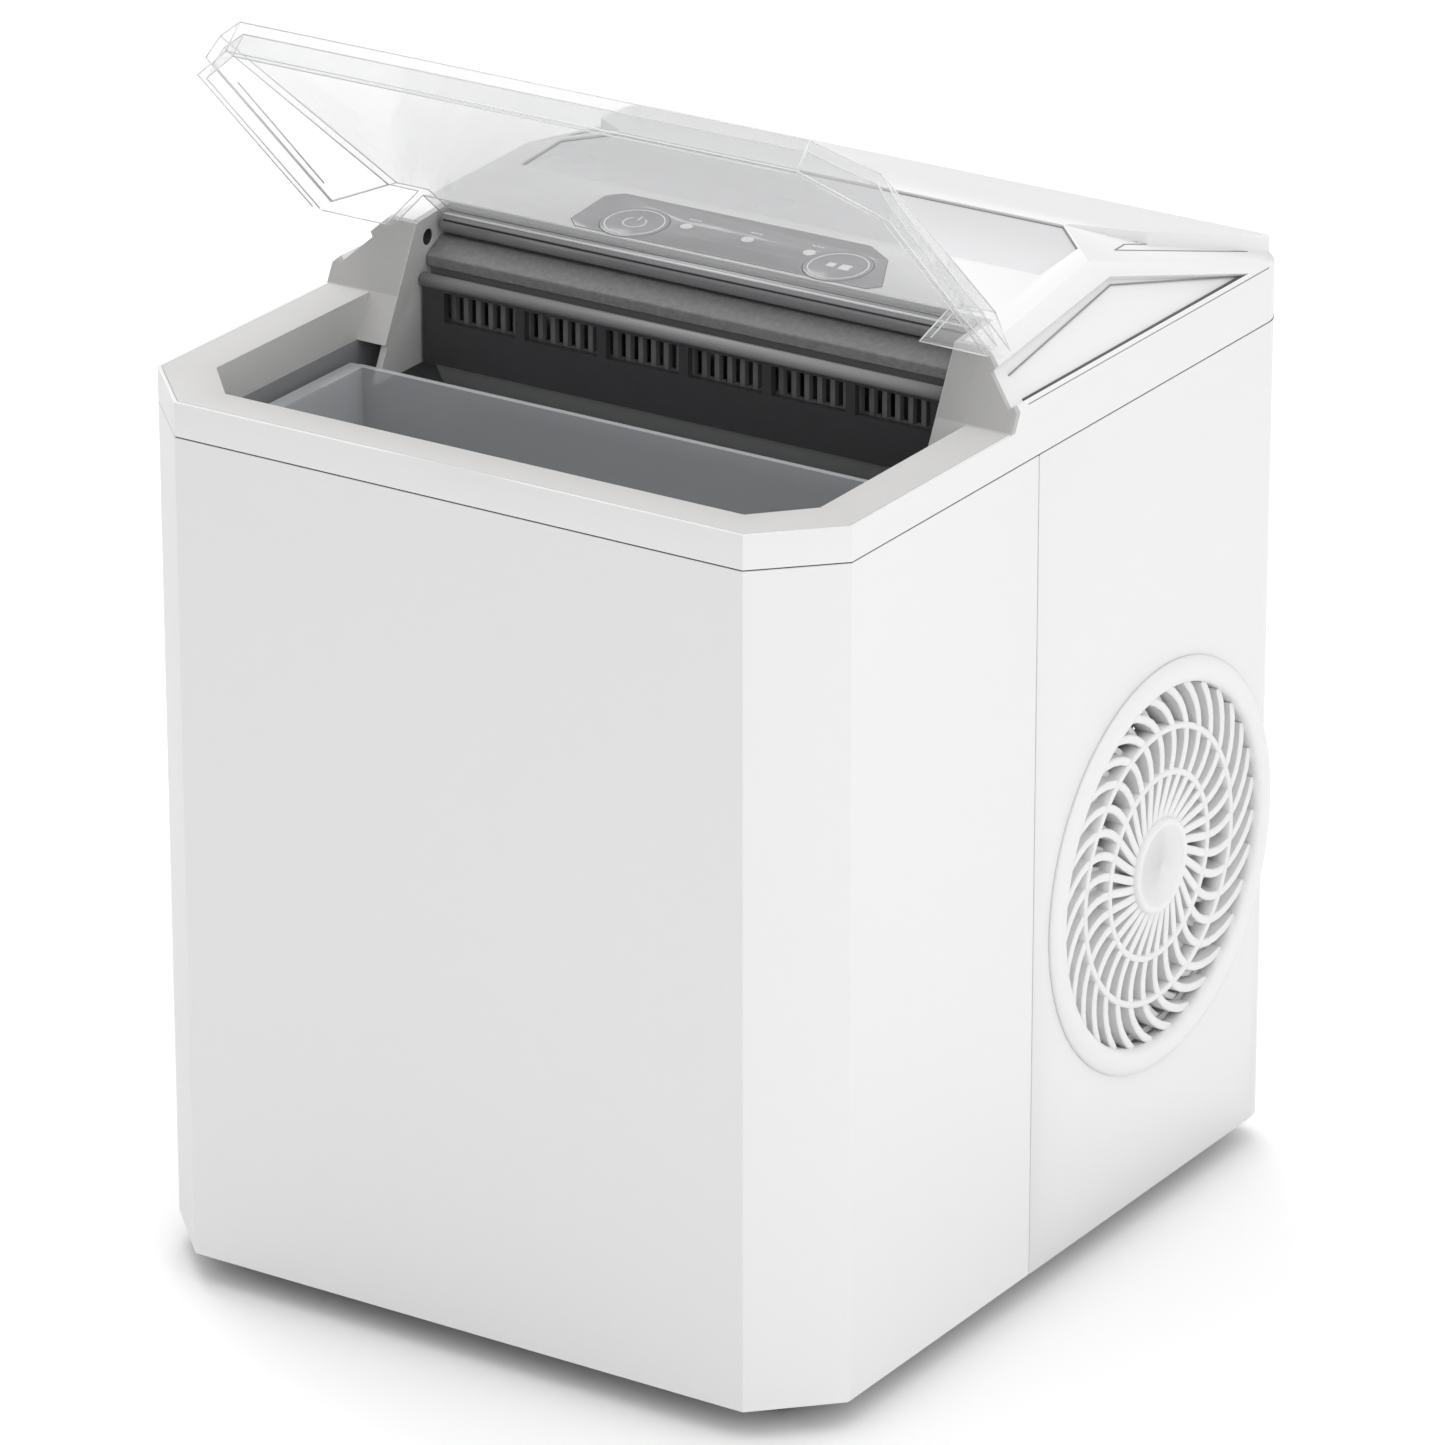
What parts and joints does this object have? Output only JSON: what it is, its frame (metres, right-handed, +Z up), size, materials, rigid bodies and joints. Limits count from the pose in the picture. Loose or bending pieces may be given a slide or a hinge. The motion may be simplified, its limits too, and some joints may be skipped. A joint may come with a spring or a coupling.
{
  "type": "ice maker",
  "caption": "Counter-top ice maker with faceted top deck, clear hinged lid standing open over an ice well, round side fan grille, freezing works and compressor inside.",
  "frame": {"origin": "on the surface it stands on, under the middle of the casing's box", "axes": "+X to the right and +Z up; the front faces -Y; the lid's hinge runs along X"},
  "size_m": [0.224, 0.246, 0.3549],
  "materials": {
    "shell_white": "satin",
    "panel_light": "satin",
    "panel_grey": "glossy",
    "button_grey": "glossy",
    "lens_white": "glossy",
    "board_green": "matte",
    "frame_grey": "satin",
    "tank_grey": "satin",
    "foam_black": "matte",
    "lid_clear": "clear",
    "pin_steel": "satin",
    "sensor_black": "glossy",
    "basket_clear": "satin",
    "works_black": "matte",
    "cover_dark": "textured",
    "guard_dark": "satin",
    "pusher_dark": "satin",
    "works_grey": "satin",
    "finger_metal": "polished",
    "motor_metal": "satin",
    "hose_clear": "satin",
    "plug_rubber": "matte",
    "pan_steel": "satin",
    "foot_rubber": "matte",
    "can_black": "satin",
    "fin_aluminium": "satin",
    "grille_white": "satin",
    "pipe_copper": "satin"
  },
  "bodies": {
    "casing": {"front_shell": "shell_white", "rear_shell": "shell_white", "top_cover": "shell_white", "deck_panel": "panel_light", "control_panel": "panel_grey", "indicator_lenses": "lens_white", "control_board": "board_green", "power_board": "board_green", "well_frame": "frame_grey", "water_tank": "tank_grey", "tank_insulation": "foam_black", "ice_sensors": "sensor_black", "level_probes": "pin_steel", "probe_holder": "works_black", "evaporator_cover": "cover_dark", "slotted_guard": "guard_dark", "evaporator_bridge": "works_grey", "evaporator": "finger_metal", "tray_motor": "motor_metal", "water_pump": "works_black", "pump_hose": "hose_clear", "drain_hose": "hose_clear", "drain_socket": "works_grey", "base_pan": "pan_steel", "feet": "foot_rubber", "foot_screws": "pin_steel", "base_screws": "pin_steel", "bulkhead": "works_black", "board_standoffs": "works_black", "power_gland": "works_black", "compressor": "can_black", "compressor_grommets": "foot_rubber", "compressor_bolts": "pin_steel", "condenser": "fin_aluminium", "fan_shroud": "works_black", "fan_motor": "motor_metal", "side_grille": "grille_white", "left_vent": "grille_white", "filter_drier": "pipe_copper", "discharge_pipe": "pipe_copper", "liquid_pipe": "pipe_copper", "suction_pipe": "pipe_copper", "capillary_pipe": "pipe_copper"},
    "lid": {"lid": "lid_clear", "lid_pins": "pin_steel"},
    "left_button": {"left_button": "button_grey"},
    "right_button": {"right_button": "button_grey"},
    "fan": {"fan_blade": "works_black", "fan_shaft": "pin_steel"},
    "tray": {"water_tray": "works_grey"},
    "pusher": {"ice_pusher": "pusher_dark"},
    "basket": {"ice_basket": "basket_clear"},
    "drain_plug": {"drain_plug": "plug_rubber"}
  },
  "joints": [
    {"name": "lid_hinge", "type": "hinge", "parent": "casing", "child": "lid", "pos_m": [0, -0.002, 0.27419], "axis": [-1, 0, 0], "range_deg": [-45.5, 34.5]},
    {"name": "left_button_press", "type": "slide", "parent": "casing", "child": "left_button", "axis": [0, 0.0814, -0.9967], "range_m": [0, 0.0008], "stiffness_N_per_m": 500, "springref_m": -0.001},
    {"name": "right_button_press", "type": "slide", "parent": "casing", "child": "right_button", "axis": [0, 0.0814, -0.9967], "range_m": [0, 0.0008], "stiffness_N_per_m": 500, "springref_m": -0.001},
    {"name": "fan_spin", "type": "hinge", "parent": "casing", "child": "fan", "pos_m": [0.093, 0.0575, 0.1056], "axis": [1, 0, 0], "continuous": true},
    {"name": "tray_tilt", "type": "hinge", "parent": "casing", "child": "tray", "pos_m": [0, 0.023, 0.24799], "axis": [1, 0, 0], "range_deg": [0, 60]},
    {"name": "pusher_swing", "type": "hinge", "parent": "casing", "child": "pusher", "pos_m": [0, -0.0125, 0.26019], "axis": [1, 0, 0], "range_deg": [-25, 0]},
    {"name": "basket_lift", "type": "slide", "parent": "casing", "child": "basket", "axis": [0, 0, 1], "range_m": [0, 0.045]},
    {"name": "drain_plug_pull", "type": "slide", "parent": "casing", "child": "drain_plug", "axis": [-1, 0, 0], "range_m": [0, 0.02]}
  ],
  "couplings": [
    {"joint": "pusher_swing", "follows": "tray_tilt", "ratio": -0.41667}
  ]
}
